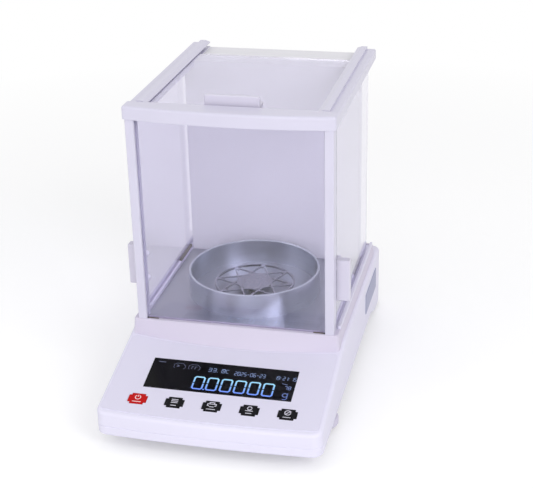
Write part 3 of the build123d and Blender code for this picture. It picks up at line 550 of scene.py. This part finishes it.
for index, (key, paths) in enumerate(symbols.items()):
    x = (index - 2) * keys["pitch"]
    barY = keys["y"] - keys["barDown"]
    bar = [(x - barHalves[key], barY), (x + barHalves[key], barY)]
    shifted = [np.asarray(path, float) + (x, keys["y"] + keys["symbolUp"]) for path in paths]
    strokes = [stroke(path, keys["line"], keys["low"], keys["high"]) for path in shifted + [bar]]
    red = key == "power"
    piece(key + "Symbol", strokes, "iconWhite" if red else "icon", key + "_button")
print("key symbols made")

# Domed caps that hold the handles: a stem through the pane and a low wall under the dome
caps = {
    "radius": 3.5, "height": 5.3, "stem": 2.0, "stemLength": 5.0, "seat": 0.02, "wall": 2.0, "dome": 2.2,
    "domeRows": 9, "around": 40, "sideX": 93.3, "sideY": 21.0, "sideZ": (35.0, 60.6),
    "topX": 16.0, "topY": 28.0, "topZ": 209.5,
}


def domeProfile():
    angle = np.linspace(0, math.pi / 2, caps["domeRows"])
    rise = caps["dome"] + (caps["height"] - caps["dome"]) * np.sin(angle)
    dome = np.stack([caps["radius"] * np.cos(angle), rise], 1)
    start = np.array([
        [0, -caps["stemLength"]], [caps["stem"], -caps["stemLength"]], [caps["stem"], caps["seat"]],
        [caps["radius"], caps["seat"]], [caps["radius"], caps["wall"]]])
    return np.concatenate([start, dome])


def capPair(name, spots, axis):
    # the dome is turned about +Z first, then laid so that +Z points along the inward axis
    points, quads = lathe(domeProfile(), (0, 0, 0), caps["around"])
    outward = np.array(axis, float)
    side = np.array([0.0, 1.0, 0.0])
    other = np.cross(side, outward)
    laid = points[:, :1] * other + points[:, 1:2] * side + points[:, 2:3] * outward
    parts = [(deck(laid + np.array(spot)), quads) for spot in spots]
    piece(name + "Caps", parts, "cap", name + "_door", stands=[name + "_door_caps"])


for name, side in (("left", -1), ("right", 1)):
    capPair(name, [(side * caps["sideX"], caps["sideY"], z) for z in caps["sideZ"]], (-side, 0, 0))
capPair("top", [(side * caps["topX"], caps["topY"], caps["topZ"]) for side in (-1, 1)], (0, 0, -1))

# Levelling wheels: knurled rim and a threaded stem
wheels = {
    "x": 91.0, "y": -34.0, "around": 180,
    "grips": 30, "gripDepth": 0.55, "gripFrom": 15.0, "gripRound": 0.7,
    "stem": 3.0, "pitch": 1.25, "threadDepth": 0.4, "threadFrom": -66.8, "threadRows": (-66.7, -50.4, 132),
}


def wheelWave(angle, radius, height):
    # rim: radius less a rounded comb of grips; stem: radius less a ramp that climbs one pitch a turn
    comb = np.abs(np.sin(angle * wheels["grips"] / 2)) ** wheels["gripRound"]
    rim = (radius > wheels["gripFrom"]) * wheels["gripDepth"] * comb
    turns = (height / wheels["pitch"] - angle / (2 * math.pi)) % 1.0
    threaded = (radius == wheels["stem"]) & (height > wheels["threadFrom"])
    return radius - rim - threaded * wheels["threadDepth"] * np.abs(2 * turns - 1)


def wheelProfile():
    rim = [(0, -76.2), (5.0, -76.2), (5.0, -75.0), (14.6, -75.0), (15.8, -74.4), (15.95, -73.6),
           (15.95, -68.4), (15.8, -67.6), (14.6, -67.0), (4.2, -67.0), (4.0, -66.9), (wheels["stem"], -66.9)]
    stem = [(wheels["stem"], z) for z in np.linspace(*wheels["threadRows"])]
    return np.array(rim + stem + [(2.4, -50.0), (0, -50.0)])


for name, side in (("left", -1), ("right", 1)):
    points, quads = lathe(wheelProfile(), (side * wheels["x"], wheels["y"], 0), wheels["around"],
                          wheelWave)
    piece(name + "Wheel", [(deck(points), quads)], "wheel", name + "_wheel",
          stands=[name + "_foot_wheel"])
print("caps and wheels made")

# Felt strips and corner studs that hold the foot of the front glass
clips = {
    "x": 81.3, "halfLength": 5.2, "y": 2.0, "z": 0.35, "halfDeep": 0.75, "halfHigh": 0.45,
    "rows": 25, "around": 28, "studX": 87.0, "studY": 1.9, "studRadius": 0.95, "studHigh": 1.1,
    "studSeat": -0.02, "studRows": 8, "studAround": 24,
}


def softBar(x, y, z, halfX, halfY, halfZ):
    # |y|^3 + |z|^3 = 1 for the section, drawn in towards both ends as the fourth root of 1 - u^6
    u = np.linspace(-1, 1, clips["rows"])[:, None]
    turn = np.linspace(0, 2 * math.pi, clips["around"], endpoint=False)[None, :]
    swell = (1 - u ** 6) ** 0.25
    sideways = np.sign(np.cos(turn)) * np.abs(np.cos(turn)) ** (2 / 3)
    upwards = np.sign(np.sin(turn)) * np.abs(np.sin(turn)) ** (2 / 3)
    along, across, up = np.broadcast_arrays(halfX * u, halfY * swell * sideways, halfZ * swell * upwards)
    points, quads = grid(np.stack([x + along, y + across, z + up], -1), closeAcross=True)
    return deck(points), quads


feltParts = [softBar(side * clips["x"], clips["y"], clips["z"], clips["halfLength"], clips["halfDeep"],
                     clips["halfHigh"]) for side in (-1, 1)]
piece("glassFelts", feltParts, "felt", "base")
studTurn = np.linspace(0, math.pi / 2, clips["studRows"])
studDome = np.stack([clips["studRadius"] * np.cos(studTurn), clips["studHigh"] * np.sin(studTurn)], 1)
studProfile = np.concatenate([[(0, clips["studSeat"])], studDome])
studs = []
for side in (-1, 1):
    points, quads = lathe(studProfile, (side * clips["studX"], clips["studY"], 0), clips["studAround"])
    studs.append((deck(points), quads))
piece("glassStuds", studs, "socket", "base")

# Level bubble behind the back panel: a clear lid, the fluid under it and the ring mark between
bubble = {
    "x": 0.0, "y": 199.0, "lid": 7.9, "lidLow": 0.5, "lidEdge": 0.55, "lidCrown": 0.9, "lidRows": 12,
    "lidAround": 56, "fluid": 7.8, "fluidLow": 0.22, "fluidHigh": 0.42, "mark": 2.6, "markOuter": 2.9,
    "markLow": 0.43, "markHigh": 0.47, "around": 48,
}
finishes["lid"] = clear("bubbleLid", "#F2F4EE")
finishes["fluid"] = moulded("bubbleFluid", "#C7DB5A", 0.15, depth=0.000002, mottle=0.04)


def bubblePiece(name, profile, around, finish):
    points, quads = lathe(profile, (bubble["x"], bubble["y"], 0), around)
    piece(name, [(deck(points), quads)], finish, "base")


def band(inner, outer, low, high):  # a closed section, or one that ends on the axis where inner is 0
    outline = [(inner, low), (outer, low), (outer, high), (inner, high)]
    return outline + outline[:1] if inner else outline


lidRadii = np.linspace(bubble["lid"], 0, bubble["lidRows"])
lidCurve = [(r, bubble["lidEdge"] + bubble["lidCrown"] * (1 - (r / bubble["lid"]) ** 2)) for r in lidRadii]
lidFoot = [(0, bubble["lidLow"]), (bubble["lid"], bubble["lidLow"])]
bubblePiece("bubbleLid", lidFoot + lidCurve, bubble["lidAround"], "lid")
fluidBand = band(0, bubble["fluid"], bubble["fluidLow"], bubble["fluidHigh"])
bubblePiece("bubbleFluid", fluidBand, bubble["around"], "fluid")
markBand = band(bubble["mark"], bubble["markOuter"], bubble["markLow"], bubble["markHigh"])
bubblePiece("bubbleMark", markBand, bubble["around"], "bubble")
print("level bubble made")

# Stage, light and camera
stage = {"size": 9.0, "floorShade": 0.86, "floorLift": 0.21, "fadeStart": 0.42, "fadeEnd": 1.15}
light = {"sky": 0.68, "skyColour": (0.985, 0.985, 1.0, 1.0), "target": (0.0, 0.02, 0.12)}
lamps = {  # place, size and power
    "key": ((1.15, -1.0, 1.1), 0.7, 8.0),
    "fill": ((-1.2, -0.7, 1.1), 1.2, 3.5),
    "top": ((0.1, 0.4, 1.7), 1.2, 2.0),
    "front": ((0.25, -1.7, 0.5), 1.3, 8.5),
}
view = {
    "place": (0.27888, -1.05957, 0.63582), "turn": (65.563, 1.311, 13.229), "lens": 82.748, "sensor": 36.0,
}

floorMesh = bpy.data.meshes.new("studioFloor")
half = stage["size"] / 2
floorCorners = [(-half, -half, 0), (half, -half, 0), (half, half, 0), (-half, half, 0)]
floorMesh.from_pydata(floorCorners, [], [(0, 1, 2, 3)])
floor = bpy.data.objects.new("studioFloor", floorMesh)
bpy.context.scene.collection.objects.link(floor)


def seenRays(shader):  # 1 for the rays that look at the background, straight or through glass and metal
    rays = shader.node("ShaderNodeLightPath")
    names = ("Is Camera Ray", "Is Glossy Ray", "Is Transmission Ray")
    seen = [Number(shader, rays.outputs[name]) for name in names]
    return (seen[0] + seen[1] + seen[2]).math("MINIMUM", 1.0)


floorShader = Shader("studioFloor")
shade = stage["floorShade"]
diffuse = floorShader.node("ShaderNodeBsdfDiffuse", inputs={"Color": (shade, shade, shade, 1)}).outputs[0]
lift = floorShader.node("ShaderNodeEmission", inputs={"Strength": stage["floorLift"]}).outputs[0]
bright = floorShader.node("ShaderNodeAddShader", inputs={0: diffuse, 1: lift}).outputs[0]
white = floorShader.node("ShaderNodeEmission", inputs={"Strength": 1.0}).outputs[0]
east, north, up = floorShader.axes(floorShader.place())
away = ((east * east + north * north) ** 0.5 - stage["fadeStart"]) / (stage["fadeEnd"] - stage["fadeStart"])
fade = away.math("MINIMUM", 1.0).math("MAXIMUM", 0.0)
faded = floorShader.node("ShaderNodeMixShader", inputs={0: fade, 1: bright, 2: white}).outputs[0]
mixed = floorShader.node("ShaderNodeMixShader", inputs={0: seenRays(floorShader), 1: diffuse, 2: faded})
floorShader.node("ShaderNodeOutputMaterial", inputs={"Surface": mixed.outputs[0]})
floorMesh.materials.append(floorShader.owner)

world = bpy.data.worlds.new("studioWorld")
bpy.context.scene.world = world
sky = Shader("studioWorld", world)
lit = sky.node("ShaderNodeBackground", inputs={"Color": light["skyColour"], "Strength": light["sky"]})
backdrop = sky.node("ShaderNodeBackground", inputs={"Color": (1, 1, 1, 1), "Strength": 1.0})
both = sky.node("ShaderNodeMixShader", inputs={0: seenRays(sky), 1: lit.outputs[0], 2: backdrop.outputs[0]})
sky.node("ShaderNodeOutputWorld", inputs={"Surface": both.outputs[0]})

for name, (place, size, power) in lamps.items():
    lamp = bpy.data.lights.new(name + "Lamp", "AREA")
    lamp.size = size
    lamp.energy = power
    holder = bpy.data.objects.new(name + "Lamp", lamp)
    bpy.context.scene.collection.objects.link(holder)
    holder.location = place
    aim = Vector(light["target"]) - Vector(place)
    holder.rotation_euler = aim.to_track_quat("-Z", "Y").to_euler()

camera = bpy.data.cameras.new("photoCamera")
camera.sensor_width = view["sensor"]
camera.lens = view["lens"]
holder = bpy.data.objects.new("photoCamera", camera)
bpy.context.scene.collection.objects.link(holder)
holder.location = view["place"]
holder.rotation_euler = [math.radians(angle) for angle in view["turn"]]
bpy.context.scene.camera = holder
bpy.context.scene.view_settings.view_transform = "Standard"
print("stage, light and camera made")
